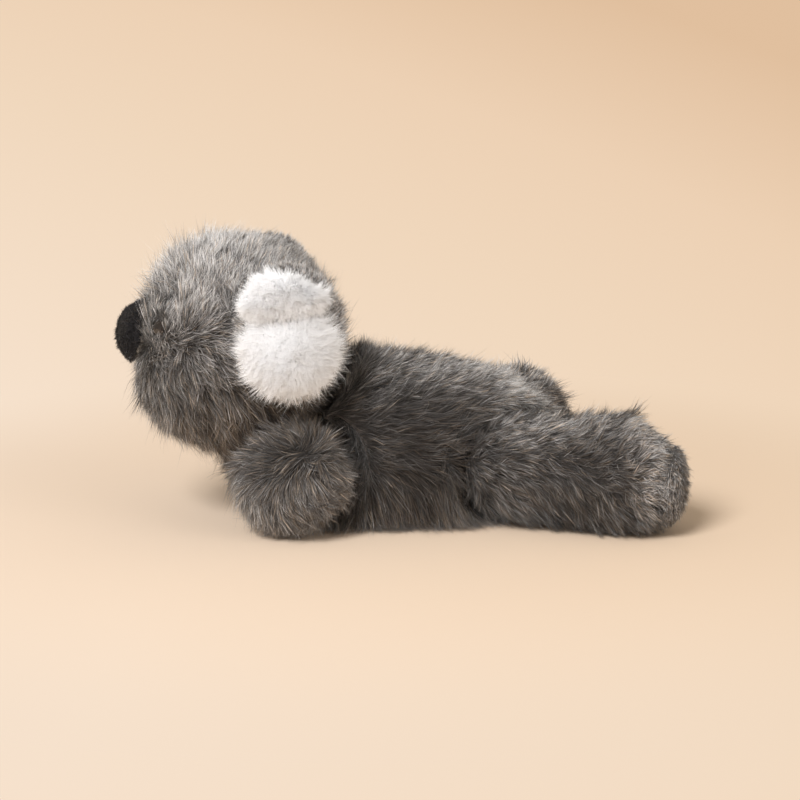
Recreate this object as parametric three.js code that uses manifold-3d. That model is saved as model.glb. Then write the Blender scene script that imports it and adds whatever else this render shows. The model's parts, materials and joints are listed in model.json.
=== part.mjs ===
// A plush koala that lies on its belly: a long-pile fabric toy of about 30 cm, with a round head,
// white-fronted ears swept back, a velour nose, bead eyes and four stub limbs.
// Every furry piece is a cup of pile fabric, filled with its own piece of stuffing, as it is sewn.
// Lengths are in millimetres, angles in degrees. +Z is up, the head lies towards -X and the
// toy's own left side towards -Y. The origin is under the middle of the toy, on the table.

import * as THREE from 'three';
import { ConvexGeometry } from 'three/addons/geometries/ConvexGeometry.js';
import { mergeVertices } from 'three/addons/utils/BufferGeometryUtils.js';
import Module from 'manifold-3d';

const wasm = await Module();
wasm.setup();

// Fits and fabrics
const seatGap = 0.3;          // between sewn pieces that touch
const turningGap = 0.6;       // round a limb's root, which turns in the body
const pileCloth = 8;          // backing and pile of the long fur together
const velour = 2;             // short pile cloth of the nose
const backing = 1.5;          // the woven backing alone, under an eye
const floorCut = 0.5;         // how deep the soft forms are pressed flat by the table
const overrun = 10;           // how far a cutting solid runs past what it cuts

// Body
const bodyFront = -94;
const bodyRear = 94;
const bodyHalfHeight = 45.5;
const bodyHalfWidth = 51;
const bodyEndHeight = 27;     // height of the rounded chest and rump ends
const bodyFullness = 2.8;     // 2 gives an oval section, more a fuller one
const bodyPlaceShares = [0, 0.035, 0.12, 0.24, 0.37, 0.5, 0.63, 0.76, 0.87, 0.955, 1];
const bodySwellShares = [0, 0.33, 0.66, 0.9, 1, 0.985, 0.925, 0.81, 0.64, 0.37, 0];

// Head
const headX = -82.5;
const headZ = 91;
const headHalfLength = 55.5;
const headHalfWidth = 60;
const headHalfHeight = 58.5;
const muzzleSwell = 6;        // how far the muzzle and cheeks stand out below the nose
const muzzleDip = -34;        // the muzzle's direction, below level
const muzzleSpread = 32;
const neckX = -43;
const neckZ = 65;
const neckRadius = 20;
const neckOpening = 11;
const nodDown = 6;
const nodUp = 12;

// Nose and eyes
const noseX = -132.5;
const noseZ = 97;
const noseDepth = 13.5;
const noseHalfWidth = 15.5;
const noseHalfHeight = 17.5;
const eyeTurn = 33;           // from straight ahead, to each side
const eyeRise = 14;           // above level, seen from the middle of the head
const eyeRadius = 4.5;
const eyeDome = 4;
const stemRadius = 1.5;
const stemLength = 9;
const washerRadius = 6;
const washerThickness = 1.4;

// Ears, as seen from the side: places are from the middle of the ear
const earX = -62;
const earZ = 105.5;
const earHalfLength = 27;
const earHalfHeight = 35;
const earHalfThickness = 5;
const earStand = 59.5;        // the ear's middle, out from the middle of the head
const lobeDrop = 11;
const lobeShift = -0.5;
const lobeHalfLength = 25;
const lobeHalfHeight = 23;
const lobeHalfThickness = 12;
const lobeStand = 3;          // the lobe's middle, out from the ear's middle
const foldRise = 18;
const foldShift = -3;
const foldLength = 45;
const foldHeight = 25;
const foldHalfThickness = 9;
const foldStand = 4;          // the fold's middle, out from the ear's middle
const foldEdgeShare = 0.35;   // 0.5 rounds it like an egg, less makes it plumper
const foldOutlineShares = [
  [-0.5, -0.16], [-0.4, 0.07], [-0.3, 0.4], [-0.12, 0.5], [0.12, 0.42], [0.34, 0.16],
  [0.5, 0.02], [0.42, -0.2], [0.15, -0.38], [-0.12, -0.5], [-0.32, -0.46],
];

// Arms: places are from the shoulder, outwards along the arm
const shoulderX = -53;
const shoulderY = 31;
const shoulderRadius = 24;
const armHeading = 122;       // from straight back, outwards: a little forward of sideways
const pawRadius = 31;
const pawAt = 15;
const armLength = 44;
const armOpening = 11;
const armSwingBack = 15;
const armSwingForward = 6;    // the head above it stops the arm

// Legs: places are from the hip, outwards along the leg
const hipX = 50;
const hipY = 34;
const hipRadius = 28;
const leftLegHeading = 23;    // from straight back, outwards
const rightLegHeading = 62;
const kneeRadius = 29;
const kneeAt = 38;
const footRadius = 32.5;
const footAt = 63;
const soleRadius = 25;
const soleAt = 85;
const soleDome = 9;
const sagFrom = 60;           // beyond this the foot sinks under its own weight
const soleSag = 8;
const legSwing = 12;

// How finely the round forms are drawn
const aroundCount = 20;
const alongCount = 12;
const insideAroundCount = 14;
const insideAlongCount = 8;
const ringCount = 16;
const arcCount = 5;
const beadCount = 10;
const splineCount = 6;

// Colours
const greyFur = { color: 0x7b7570, roughness: 0.95, metalness: 0 };
const paleFur = { color: 0xf2ece8, roughness: 0.95, metalness: 0 };
const stuffing = { color: 0xe9e6df, roughness: 1, metalness: 0 };
const blackVelour = { color: 0x1b181c, roughness: 0.9, metalness: 0 };
const blackBead = { color: 0x120d0b, roughness: 0.15, metalness: 0 };
const clearNylon = { color: 0xd8d4cb, roughness: 0.5, metalness: 0 };

const toRadians = THREE.MathUtils.degToRad;
const xAxis = new THREE.Vector3(1, 0, 0);
const yAxis = new THREE.Vector3(0, 1, 0);
const zAxis = new THREE.Vector3(0, 0, 1);

// Closed solids and back again

function solidOf(geometry) {
  const bare = geometry.clone();
  bare.deleteAttribute('normal');
  bare.deleteAttribute('uv');
  const merged = mergeVertices(bare);
  return new wasm.Manifold(new wasm.Mesh({
    numProp: 3,
    vertProperties: new Float32Array(merged.attributes.position.array),
    triVerts: new Uint32Array(merged.index.array),
  }));
}

function geometryOf(solid) {
  const mesh = solid.getMesh();
  const geometry = new THREE.BufferGeometry();
  geometry.setAttribute('position', new THREE.BufferAttribute(new Float32Array(mesh.vertProperties), 3));
  geometry.setIndex(new THREE.BufferAttribute(new Uint32Array(mesh.triVerts), 1));
  geometry.computeVertexNormals();
  return geometry;
}

function minus(solid, ...cutters) {
  return cutters.reduce((left, cutter) => left.subtract(cutter), solid);
}

function joined(solids) {
  return solids.reduce((whole, solid) => whole.add(solid));
}

// Round forms

function egg(halfX, halfY, halfZ, around = aroundCount, along = alongCount) {
  const form = new THREE.SphereGeometry(1, around, along);
  form.rotateX(Math.PI / 2);
  return form.scale(halfX, halfY, halfZ);
}

// A revolved form whose axis runs from the origin along +X
function revolved(profile, around) {
  return new THREE.LatheGeometry(profile, around).rotateZ(-Math.PI / 2);
}

// An outline moved outwards, or inwards where the distance is negative, with its ends kept on the axis
function offsetOutline(points, distance) {
  return points.map((point, index) => {
    const before = points[Math.max(index - 1, 0)];
    const after = points[Math.min(index + 1, points.length - 1)];
    const run = after.clone().sub(before).normalize();
    if (index === 0 || index === points.length - 1) {
      const way = index === 0 ? -1 : 1;
      return point.x === 0 ? new THREE.Vector2(0, point.y + way * distance) : point.clone();
    }
    return new THREE.Vector2(point.x + run.y * distance, point.y - run.x * distance);
  });
}

// The body, drawn along X and pressed on the table

function bodySection(place) {
  const curve = new THREE.SplineCurve(
    bodyPlaceShares.map((share, index) => new THREE.Vector2(share, bodySwellShares[index])),
  );
  return curve.getPoint(place);
}

function bodyForm(inset, around, along) {
  const rings = [];
  for (let step = 0; step <= along; step += 1) {
    rings.push(bodySection(step / along));
  }
  const length = bodyRear - bodyFront;
  const form = revolved(rings.map((ring) => new THREE.Vector2(Math.max(ring.y, 0), ring.x)), around);
  const place = form.attributes.position;
  for (let index = 0; index < place.count; index += 1) {
    const wide = place.getY(index);
    const high = place.getZ(index);
    const swell = Math.hypot(wide, high);
    const power = (Math.abs(wide) ** bodyFullness + Math.abs(high) ** bodyFullness) ** (1 / bodyFullness);
    const fuller = swell > 0 ? swell / power : 1;
    const middle = THREE.MathUtils.lerp(bodyEndHeight, bodyHalfHeight - floorCut, swell);
    const share = place.getX(index) * (1 - 2 * inset / length) + inset / length;
    place.setX(index, bodyFront + length * share);
    place.setY(index, wide * fuller * (bodyHalfWidth - inset));
    place.setZ(index, middle + high * fuller * (bodyHalfHeight - inset));
  }
  return form;
}

// The head, an egg that swells at the muzzle

function headForm(grow, around = aroundCount, along = alongCount) {
  const form = egg(headHalfLength + grow, headHalfWidth + grow, headHalfHeight + grow, around, along);
  const muzzle = new THREE.Vector3(-Math.cos(toRadians(muzzleDip)), 0, Math.sin(toRadians(muzzleDip)));
  const place = form.attributes.position;
  const point = new THREE.Vector3();
  for (let index = 0; index < place.count; index += 1) {
    point.fromBufferAttribute(place, index);
    const turn = THREE.MathUtils.radToDeg(point.angleTo(muzzle)) / muzzleSpread;
    point.addScaledVector(muzzle, muzzleSwell * Math.exp(-turn * turn));
    place.setXYZ(index, point.x, point.y, point.z);
  }
  return form.translate(headX, 0, headZ);
}

const neck = new THREE.Vector3(neckX, 0, neckZ);
const headMiddle = new THREE.Vector3(headX, 0, headZ);

// The turn that nods the head; a positive angle lifts the nose
function aboutNeck(angle) {
  return new THREE.Matrix4().makeTranslation(neck.x, neck.y, neck.z)
    .multiply(new THREE.Matrix4().makeRotationY(toRadians(angle)))
    .multiply(new THREE.Matrix4().makeTranslation(-neck.x, -neck.y, -neck.z));
}

function neckForm(grow, around = aroundCount, along = alongCount) {
  return egg(neckRadius + grow, neckRadius + grow, neckRadius + grow, around, along)
    .translate(neck.x, neck.y, neck.z);
}

// A cylinder from one point to another
function rod(start, end, radius, around = ringCount) {
  const run = end.clone().sub(start);
  const form = new THREE.CylinderGeometry(radius, radius, run.length(), around);
  const turn = new THREE.Quaternion().setFromUnitVectors(yAxis, run.clone().normalize());
  form.applyQuaternion(turn);
  const middle = start.clone().add(end).multiplyScalar(1 / 2);
  return form.translate(middle.x, middle.y, middle.z);
}

// Limbs: the outline starts on the axis behind the joint and runs out to the tip

function rootArc(radius, opening) {
  const points = [];
  const first = opening > 0 ? Math.asin(opening / radius) : 0;
  for (let step = 0; step <= arcCount; step += 1) {
    const angle = THREE.MathUtils.lerp(first, Math.PI / 2, step / arcCount);
    points.push(new THREE.Vector2(radius * Math.sin(angle), -radius * Math.cos(angle)));
  }
  if (opening === 0) points[0].x = 0;
  return points;
}

function legOutline() {
  const run = new THREE.SplineCurve([
    new THREE.Vector2(hipRadius, 0),
    new THREE.Vector2(kneeRadius, kneeAt),
    new THREE.Vector2(footRadius, footAt),
    new THREE.Vector2(soleRadius, soleAt),
  ]);
  return [...rootArc(hipRadius, 0), ...run.getPoints(splineCount).slice(1)];
}

function armOutline(opening) {
  const tip = armLength;
  const points = [...rootArc(shoulderRadius, opening), new THREE.Vector2(pawRadius, pawAt)];
  for (let step = 1; step <= arcCount; step += 1) {
    const angle = (Math.PI / 2) * (step / arcCount);
    const radius = step === arcCount ? 0 : pawRadius * Math.cos(angle);
    points.push(new THREE.Vector2(radius, pawAt + (tip - pawAt) * Math.sin(angle)));
  }
  return points;
}

// Closes an outline that ends away from the axis with a straight line to it
function capped(points) {
  const last = points[points.length - 1];
  const first = points[0];
  const whole = [...points];
  if (last.x > 0) whole.push(new THREE.Vector2(0, last.y));
  if (first.x > 0) whole.unshift(new THREE.Vector2(0, first.y));
  return whole;
}

// Turns a limb's own axis to its heading and puts its joint in place; side is -1 on the toy's left
function placeLimb(geometry, side, jointX, jointY, jointZ, heading) {
  geometry.rotateZ(side * toRadians(heading));
  return geometry.translate(jointX, side * jointY, jointZ);
}

const sides = [
  { name: 'left', side: -1, legHeading: leftLegHeading },
  { name: 'right', side: 1, legHeading: rightLegHeading },
];

function legPlaced(profile, each, around = aroundCount) {
  const form = revolved(profile, around);
  const places = form.getAttribute('position');
  for (let index = 0; index < places.count; index += 1) {
    const share = THREE.MathUtils.smoothstep(places.getX(index), sagFrom, soleAt);
    places.setZ(index, places.getZ(index) - soleSag * share);
  }
  return placeLimb(form, each.side, hipX, hipY, footRadius - floorCut, each.legHeading);
}

function armPlaced(profile, each, around = aroundCount) {
  const form = revolved(profile, around);
  return placeLimb(form, each.side, shoulderX, shoulderY, pawRadius - floorCut, armHeading);
}

const table = solidOf(
  new THREE.BoxGeometry(
    2 * (bodyRear - bodyFront),
    2 * (bodyRear - bodyFront),
    overrun,
  ).translate(0, 0, -overrun / 2),
);

const group = new THREE.Group();
group.name = 'plush_koala';

function addPiece(name, solid, look) {
  const mesh = new THREE.Mesh(geometryOf(solid), new THREE.MeshStandardMaterial(look));
  mesh.name = name;
  group.add(mesh);
}

// Spaces that the moving pieces need

function hipOf(each) {
  return new THREE.Vector3(hipX, each.side * hipY, footRadius - floorCut);
}

function shoulderOf(each) {
  return new THREE.Vector3(shoulderX, each.side * shoulderY, pawRadius - floorCut);
}

// A convex form that holds a piece at several angles about an axis through a point
function turnRoom(makeForm, point, axis, angles) {
  const corners = [];
  for (const angle of angles) {
    const place = makeForm().attributes.position;
    for (let index = 0; index < place.count; index += 1) {
      const corner = new THREE.Vector3().fromBufferAttribute(place, index).sub(point);
      corners.push(corner.applyAxisAngle(axis, toRadians(angle)).add(point));
    }
  }
  return solidOf(new ConvexGeometry(corners));
}

const headSpace = joined([
  turnRoom(() => headForm(turningGap), neck, yAxis, [-nodDown, 0, nodUp]),
  solidOf(neckForm(turningGap)),
]);

const limbSpaces = sides.flatMap((each) => [
  turnRoom(
    () => legPlaced(capped(offsetOutline(legOutline(), turningGap)), each),
    hipOf(each), zAxis, [-legSwing, legSwing],
  ),
  turnRoom(
    () => armPlaced(capped(offsetOutline(armOutline(0), turningGap)), each),
    shoulderOf(each), zAxis, [each.side * -armSwingBack, each.side * armSwingForward],
  ),
]);

// Body

const bodyOuter = minus(solidOf(bodyForm(0, aroundCount, alongCount)), table);
const bodyInner = solidOf(bodyForm(pileCloth, insideAroundCount, insideAlongCount));
const bodyFill = solidOf(bodyForm(pileCloth + seatGap, insideAroundCount, insideAlongCount));
addPiece('body_skin', minus(bodyOuter, bodyInner, headSpace, ...limbSpaces), greyFur);
addPiece('body_stuffing', minus(bodyFill, headSpace, ...limbSpaces), stuffing);

// Eyes: a bead on a stem that goes through the backing into a washer inside the head

function eyeFrame(side) {
  const turn = toRadians(eyeTurn);
  const rise = toRadians(eyeRise);
  const way = new THREE.Vector3(
    -Math.cos(turn) * Math.cos(rise),
    side * Math.sin(turn) * Math.cos(rise),
    Math.sin(rise),
  );
  const reach = 1 / Math.hypot(
    way.x / (headHalfLength - pileCloth),
    way.y / (headHalfWidth - pileCloth),
    way.z / (headHalfHeight - pileCloth),
  );
  const onBacking = headMiddle.clone().addScaledVector(way, reach + backing + seatGap);
  return { way, onBacking };
}

function eyeBead() {
  const dome = [];
  for (let step = 0; step <= arcCount; step += 1) {
    const angle = (Math.PI / 2) * (step / arcCount);
    const radius = step === arcCount ? 0 : eyeRadius * Math.cos(angle);
    dome.push(new THREE.Vector2(radius, eyeDome * Math.sin(angle)));
  }
  return revolved([
    new THREE.Vector2(0, -stemLength),
    new THREE.Vector2(stemRadius, -stemLength),
    new THREE.Vector2(stemRadius, 0),
    ...dome,
  ], beadCount);
}

function aimed(geometry, way, from) {
  geometry.applyQuaternion(new THREE.Quaternion().setFromUnitVectors(xAxis, way));
  return geometry.translate(from.x, from.y, from.z);
}

const headCuts = [];
const headFillCuts = [];
for (const each of sides) {
  const { way, onBacking } = eyeFrame(each.side);
  const outside = onBacking.clone().addScaledVector(way, pileCloth + overrun);
  const well = onBacking.clone().addScaledVector(way, -seatGap);
  const inside = onBacking.clone().addScaledVector(way, -stemLength - overrun / 2);
  headCuts.push(solidOf(rod(well, outside, eyeRadius + seatGap, beadCount)));
  headCuts.push(solidOf(rod(inside, outside, stemRadius + seatGap, beadCount)));
  const washerOuter = onBacking.clone().addScaledVector(way, -backing - 3 * seatGap);
  const washerInner = washerOuter.clone().addScaledVector(way, -washerThickness);
  const washer = solidOf(rod(washerInner, washerOuter, washerRadius, beadCount));
  const pocketEnd = washerInner.clone().addScaledVector(way, -seatGap);
  headFillCuts.push(solidOf(rod(pocketEnd, outside, washerRadius + seatGap, beadCount)));
  headFillCuts.push(solidOf(rod(inside, outside, stemRadius + seatGap, beadCount)));
  headCuts.push(solidOf(rod(pocketEnd, washerOuter.clone().addScaledVector(way, seatGap),
    washerRadius + seatGap, beadCount)));
  const bore = solidOf(rod(inside, outside, stemRadius + seatGap, beadCount));
  addPiece(`eye_${each.name}`, solidOf(aimed(eyeBead(), way, onBacking)), blackBead);
  addPiece(`eye_washer_${each.name}`, washer.subtract(bore), clearNylon);
}

// Head

const neckWay = neck.clone().sub(headMiddle).normalize();
const neckEnd = neck.clone().addScaledVector(neckWay, neckRadius + overrun);
const plugEnd = neck.clone().addScaledVector(neckWay, neckRadius - pileCloth);
const headSkin = minus(
  joined([solidOf(headForm(0)), solidOf(neckForm(0))]),
  solidOf(headForm(-pileCloth, insideAroundCount, insideAlongCount)),
  solidOf(rod(headMiddle, neckEnd, neckOpening)),
  ...headCuts,
);
const headFill = minus(
  joined([
    solidOf(headForm(-pileCloth - seatGap, insideAroundCount, insideAlongCount)),
    solidOf(rod(headMiddle, plugEnd, neckOpening - seatGap)),
  ]),
  ...headFillCuts,
);
addPiece('head_skin', headSkin, greyFur);
addPiece('head_stuffing', headFill, stuffing);

// Nose: a stuffed velour pad sewn on the front of the head

function noseForm(inset, around, along) {
  return egg(noseDepth - inset, noseHalfWidth - inset, noseHalfHeight - inset, around, along)
    .translate(noseX, 0, noseZ);
}

const headSeat = solidOf(headForm(seatGap));
addPiece('nose_cover', minus(
  solidOf(noseForm(0, ringCount, insideAlongCount)),
  solidOf(noseForm(velour, insideAroundCount, insideAlongCount)),
  headSeat,
), blackVelour);
addPiece('nose_stuffing', minus(
  solidOf(noseForm(velour + seatGap, insideAroundCount, insideAlongCount)),
  headSeat,
), stuffing);

// Ears: a grey cupped back that lies along the head, a fluffy white lobe and a white fold above it

function foldOutline(place) {
  const points = foldOutlineShares.map(
    (share) => new THREE.Vector3(share[0] * foldLength, 0, share[1] * foldHeight),
  );
  return new THREE.CatmullRomCurve3(points, true).getPoint(place);
}

function earBackForm(side, grow) {
  return egg(
    earHalfLength + grow, earHalfThickness + grow, earHalfHeight + grow,
    aroundCount, insideAlongCount,
  ).translate(earX, side * earStand, earZ);
}

function lobeForm(side, grow) {
  return egg(
    lobeHalfLength + grow, lobeHalfThickness + grow, lobeHalfHeight + grow,
    ringCount, insideAlongCount,
  ).translate(earX + lobeShift, side * (earStand + lobeStand), earZ - lobeDrop);
}

// A small pillow whose edge follows the fold's outline
function foldForm(side) {
  const form = new THREE.SphereGeometry(1, ringCount, insideAlongCount);
  const place = form.attributes.position;
  for (let index = 0; index < place.count; index += 1) {
    const depth = place.getY(index);
    const spread = Math.max(1 - depth * depth, 0) ** foldEdgeShare;
    const edge = foldOutline((index % (ringCount + 1)) / ringCount % 1);
    place.setXYZ(index, edge.x * spread, depth * foldHalfThickness, edge.z * spread);
  }
  return form.translate(earX + foldShift, side * (earStand + foldStand), earZ + foldRise);
}

for (const each of sides) {
  const backSpace = solidOf(earBackForm(each.side, seatGap));
  const behind = solidOf(new THREE.BoxGeometry(4 * earHalfHeight, earStand, 4 * earHalfHeight)
    .translate(earX, each.side * earStand / 2, earZ));
  addPiece(`ear_back_${each.name}`, minus(solidOf(earBackForm(each.side, 0)), headSeat), greyFur);
  addPiece(`ear_lobe_${each.name}`, minus(
    solidOf(lobeForm(each.side, 0)), backSpace, behind, headSeat,
  ), paleFur);
  addPiece(`ear_fold_${each.name}`, minus(
    solidOf(foldForm(each.side)), backSpace, behind, headSeat, solidOf(lobeForm(each.side, seatGap)),
  ), paleFur);
}

// Arms, hollowed at the top where the head rests over them

for (const each of sides) {
  const headAway = turnRoom(
    () => headForm(turningGap).applyMatrix4(aboutNeck(-nodDown)),
    shoulderOf(each), zAxis, [each.side * armSwingBack, each.side * -armSwingForward],
  );
  const outline = armOutline(armOpening);
  const inner = offsetOutline(armOutline(0), -pileCloth);
  const fill = offsetOutline(armOutline(0), -pileCloth - seatGap);
  const skin = minus(
    solidOf(armPlaced(capped(outline), each)),
    solidOf(armPlaced(inner, each, insideAroundCount)),
    solidOf(rod(
      shoulderOf(each),
      shoulderOf(each).add(new THREE.Vector3(-(shoulderRadius + overrun), 0, 0)
        .applyAxisAngle(zAxis, each.side * toRadians(armHeading))),
      armOpening,
      insideAroundCount,
    )),
    table,
    headAway,
  );
  addPiece(`arm_skin_${each.name}`, skin, greyFur);
  addPiece(`arm_stuffing_${each.name}`, minus(
    solidOf(armPlaced(fill, each, insideAroundCount)), headAway,
  ), stuffing);
}

// Legs, each closed at the end by its own sole

for (const each of sides) {
  const outline = legOutline();
  const inner = offsetOutline(outline, -pileCloth);
  inner[inner.length - 1] = new THREE.Vector2(soleRadius - pileCloth, soleAt);
  const innerRun = capped([...inner, new THREE.Vector2(soleRadius - pileCloth, soleAt + overrun)]);
  const fill = offsetOutline(outline, -pileCloth - seatGap);
  fill[fill.length - 1] = new THREE.Vector2(soleRadius - pileCloth - seatGap, soleAt);
  const skin = minus(
    solidOf(legPlaced(capped(outline), each)),
    solidOf(legPlaced(innerRun, each, insideAroundCount)),
    table,
  );
  addPiece(`leg_skin_${each.name}`, skin, greyFur);
  addPiece(`leg_stuffing_${each.name}`, solidOf(
    legPlaced(capped(fill), each, insideAroundCount),
  ), stuffing);
  const sole = [];
  for (let step = 0; step <= arcCount; step += 1) {
    const angle = (Math.PI / 2) * (step / arcCount);
    const radius = step === arcCount ? 0 : soleRadius * Math.cos(angle);
    sole.push(new THREE.Vector2(radius, soleAt + seatGap + soleDome * Math.sin(angle)));
  }
  addPiece(`sole_${each.name}`, minus(solidOf(legPlaced(capped(sole), each)), table), greyFur);
}

// The origin goes under the middle of the whole toy

const reach = new THREE.Box3().setFromObject(group);
const middle = reach.getCenter(new THREE.Vector3());
for (const piece of group.children) {
  piece.position.set(-middle.x, -middle.y, 0);
}

export default group;
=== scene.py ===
# %% [markdown]
# # A lying plush koala
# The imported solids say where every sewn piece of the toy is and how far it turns. This lesson
# dresses them: it copies each solid, softens and stuffs it into a cloth skin, and plants the pile
# of the fabric on the skin as thousands of thin ribbons. Lengths on the toy are in millimetres
# times `mm`, because Blender works in metres.

# %% Load the frame and keep the box of the bare solids
import json
import math

import bpy
import numpy as np
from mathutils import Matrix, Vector
from mathutils.bvhtree import BVHTree
from mathutils.kdtree import KDTree

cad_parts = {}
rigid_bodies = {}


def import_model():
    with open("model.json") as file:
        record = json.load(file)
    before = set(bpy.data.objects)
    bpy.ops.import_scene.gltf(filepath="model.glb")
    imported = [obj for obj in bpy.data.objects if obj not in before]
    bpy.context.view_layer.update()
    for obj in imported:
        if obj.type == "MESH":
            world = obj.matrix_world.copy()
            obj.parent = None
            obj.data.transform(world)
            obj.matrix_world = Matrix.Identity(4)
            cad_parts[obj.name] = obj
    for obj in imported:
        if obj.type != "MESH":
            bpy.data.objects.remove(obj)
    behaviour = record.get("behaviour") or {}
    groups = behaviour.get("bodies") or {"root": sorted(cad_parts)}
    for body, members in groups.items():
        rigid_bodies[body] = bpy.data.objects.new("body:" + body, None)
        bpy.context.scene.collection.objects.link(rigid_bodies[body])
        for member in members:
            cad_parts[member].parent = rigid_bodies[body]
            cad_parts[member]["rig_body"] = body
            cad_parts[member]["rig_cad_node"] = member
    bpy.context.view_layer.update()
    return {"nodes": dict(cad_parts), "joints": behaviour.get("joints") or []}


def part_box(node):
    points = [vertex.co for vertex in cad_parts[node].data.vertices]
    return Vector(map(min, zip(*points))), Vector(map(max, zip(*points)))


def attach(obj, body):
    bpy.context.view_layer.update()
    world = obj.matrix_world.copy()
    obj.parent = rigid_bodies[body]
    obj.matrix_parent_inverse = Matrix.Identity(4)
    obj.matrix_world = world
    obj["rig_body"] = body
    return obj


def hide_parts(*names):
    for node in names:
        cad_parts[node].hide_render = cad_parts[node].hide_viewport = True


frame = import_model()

mm = 0.001
scene = bpy.context.scene
print("solids in the frame:", len(frame["nodes"]))

# %% [markdown]
# ## Places on the toy
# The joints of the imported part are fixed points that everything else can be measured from. The
# head hangs on the neck, the arms on the shoulders and the legs on the hips, so a few offsets from
# those and from the middles of the solids are all the places that the fur needs.

# %% Joints, and the middles of head and nose
joints = {joint["name"]: np.array(joint["pos_m"]) for joint in frame["joints"]}
sides = {"left": -1, "right": 1}


def middle_of(node, offset=(0, 0, 0)):
    low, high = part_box(node)
    return np.array((low + high) / 2) + np.array(offset) * mm


neck = joints["neck_nod"]
middle_y = neck[1]
head_middle = neck + np.array([-39.5, 0, 26]) * mm
nose_middle = middle_of("nose_cover")
print("head middle:", np.round(head_middle / mm, 1))

# %% [markdown]
# ## Camera
# The photograph looks at the toy's left side from 11 degrees above the table, with the head a
# little nearer than the feet. A long lens from 1.2 m away gives the same small perspective.

# %% Camera
look_at = Vector((2.4 * mm, -16.6 * mm, 58.8 * mm))
camera_rise = math.radians(11)
camera_turn = math.radians(8)
camera_distance = 1200 * mm
camera_data = bpy.data.cameras.new("camera")
camera_data.lens = 104.04
camera_data.sensor_width = 36
camera = bpy.data.objects.new("camera", camera_data)
scene.collection.objects.link(camera)
camera.location = look_at + camera_distance * Vector((
    -math.sin(camera_turn) * math.cos(camera_rise),
    -math.cos(camera_turn) * math.cos(camera_rise),
    math.sin(camera_rise),
))
camera.rotation_euler = (look_at - camera.location).to_track_quat("-Z", "Y").to_euler()
scene.camera = camera
scene.view_settings.view_transform = "Standard"
print("camera at:", [round(c, 3) for c in camera.location])

# %% [markdown]
# ## Building with nodes
# Every material here is a tree of nodes. A few helpers place a node and fill its sockets in one
# go: a number or a colour is written into the socket, and another node's output is linked to it.

# %% Helpers that place nodes


def new_material(name):
    material = bpy.data.materials.new(name)
    material.use_nodes = True
    material.node_tree.nodes.clear()
    return material, material.node_tree


def put(tree, kind, sockets=None, **values):
    node = tree.nodes.new(kind)
    for key, value in values.items():
        setattr(node, key, value)
    for key, value in (sockets or {}).items():
        if isinstance(value, bpy.types.NodeSocket):
            tree.links.new(value, node.inputs[key])
        else:
            node.inputs[key].default_value = value
    return node


def calculate(tree, operation, *values):
    sockets = dict(enumerate(values))
    return put(tree, "ShaderNodeMath", sockets, operation=operation).outputs[0]


def span(tree, value, low, high, to_low=0, to_high=1):
    sockets = {
        "Value": value, "From Min": low, "From Max": high, "To Min": to_low, "To Max": to_high,
    }
    node = put(tree, "ShaderNodeMapRange", sockets, interpolation_type="SMOOTHSTEP")
    return node.outputs["Result"]


def ramp(tree, value, stops):
    node = put(tree, "ShaderNodeValToRGB", {0: value})
    marks = node.color_ramp.elements
    while len(marks) > 1:
        marks.remove(marks[-1])
    marks[0].position, marks[0].color = stops[0][0], (*stops[0][1], 1)
    for place, colour in stops[1:]:
        marks.new(place).color = (*colour, 1)
    return node.outputs[0]


def object_place(tree):
    return put(tree, "ShaderNodeTexCoord").outputs["Object"]


def surface(tree, sockets):
    shader = put(tree, "ShaderNodeBsdfPrincipled", sockets)
    put(tree, "ShaderNodeOutputMaterial", {"Surface": shader.outputs[0]})


print("node helpers are ready")

# %% [markdown]
# ## Light
# One large soft lamp stands up and to the left of the camera, so the shadow falls to the right and
# a little back. A dim even sky fills the far side. Both are low enough that a colour renders about
# as it is written and the white ear keeps its detail.

# %% Lamps and sky


def lamp(name, place, size, power, tint):
    data = bpy.data.lights.new(name, "AREA")
    data.shape = "DISK"
    data.size = size
    data.energy = power
    data.color = tint
    holder = bpy.data.objects.new(name, data)
    scene.collection.objects.link(holder)
    holder.location = place
    holder.rotation_euler = (look_at - Vector(place)).to_track_quat("-Z", "Y").to_euler()


lamp("key_lamp", (-2.0, -2.8, 2.75), size=1.8, power=177, tint=(1, 0.99, 0.984))
lamp("fill_lamp", (2.4, -2.6, 1.4), size=2.4, power=22, tint=(1, 0.98, 0.96))
world = bpy.data.worlds.new("soft_sky")
scene.world = world
world.use_nodes = True
sky = world.node_tree
sky.nodes.clear()
sky_light = put(sky, "ShaderNodeBackground", {"Color": (1, 0.9, 0.77, 1), "Strength": 0.38})
sky_seen = put(sky, "ShaderNodeBackground", {"Color": (0.84, 0.624, 0.445, 1), "Strength": 1})
sky_mix = put(sky, "ShaderNodeMixShader", {
    0: put(sky, "ShaderNodeLightPath").outputs["Is Camera Ray"],
    1: sky_light.outputs[0],
    2: sky_seen.outputs[0],
})
put(sky, "ShaderNodeOutputWorld", {"Surface": sky_mix.outputs[0]})
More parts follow.
